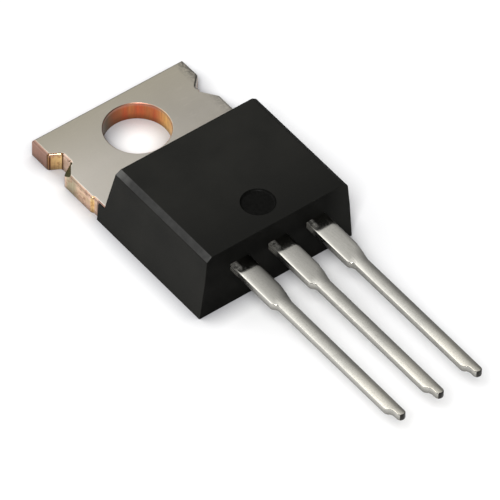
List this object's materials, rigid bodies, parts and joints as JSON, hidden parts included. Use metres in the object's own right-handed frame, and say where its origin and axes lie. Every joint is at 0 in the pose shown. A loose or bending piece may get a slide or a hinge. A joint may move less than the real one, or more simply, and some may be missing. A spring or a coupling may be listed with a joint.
{
  "type": "power transistor",
  "caption": "Power transistor in a moulded through-hole package with a flat metal heat-sink tab, a mounting hole and straight leads.",
  "frame": {"origin": "centre of the mounting hole, on the rear mounting face of the tab", "axes": "+Z out of the mounting face, through the tab towards the top of the moulded body; +Y away from the leads, so the leads point to -Y; +X to the right when the top of the body faces the viewer and the leads point down"},
  "size_m": [0.0102, 0.0289, 0.0044],
  "materials": {
    "tinned_copper": "satin",
    "black_epoxy": "matte",
    "solder": "satin",
    "silicon": "gloss",
    "aluminium_wire": "satin"
  },
  "bodies": {
    "root": {"drain_frame": "tinned_copper", "gate_lead": "tinned_copper", "source_lead": "tinned_copper", "moulded_body": "black_epoxy", "die_solder": "solder", "silicon_die": "silicon", "gate_wire": "aluminium_wire", "source_wire_1": "aluminium_wire", "source_wire_2": "aluminium_wire"}
  },
  "joints": []
}
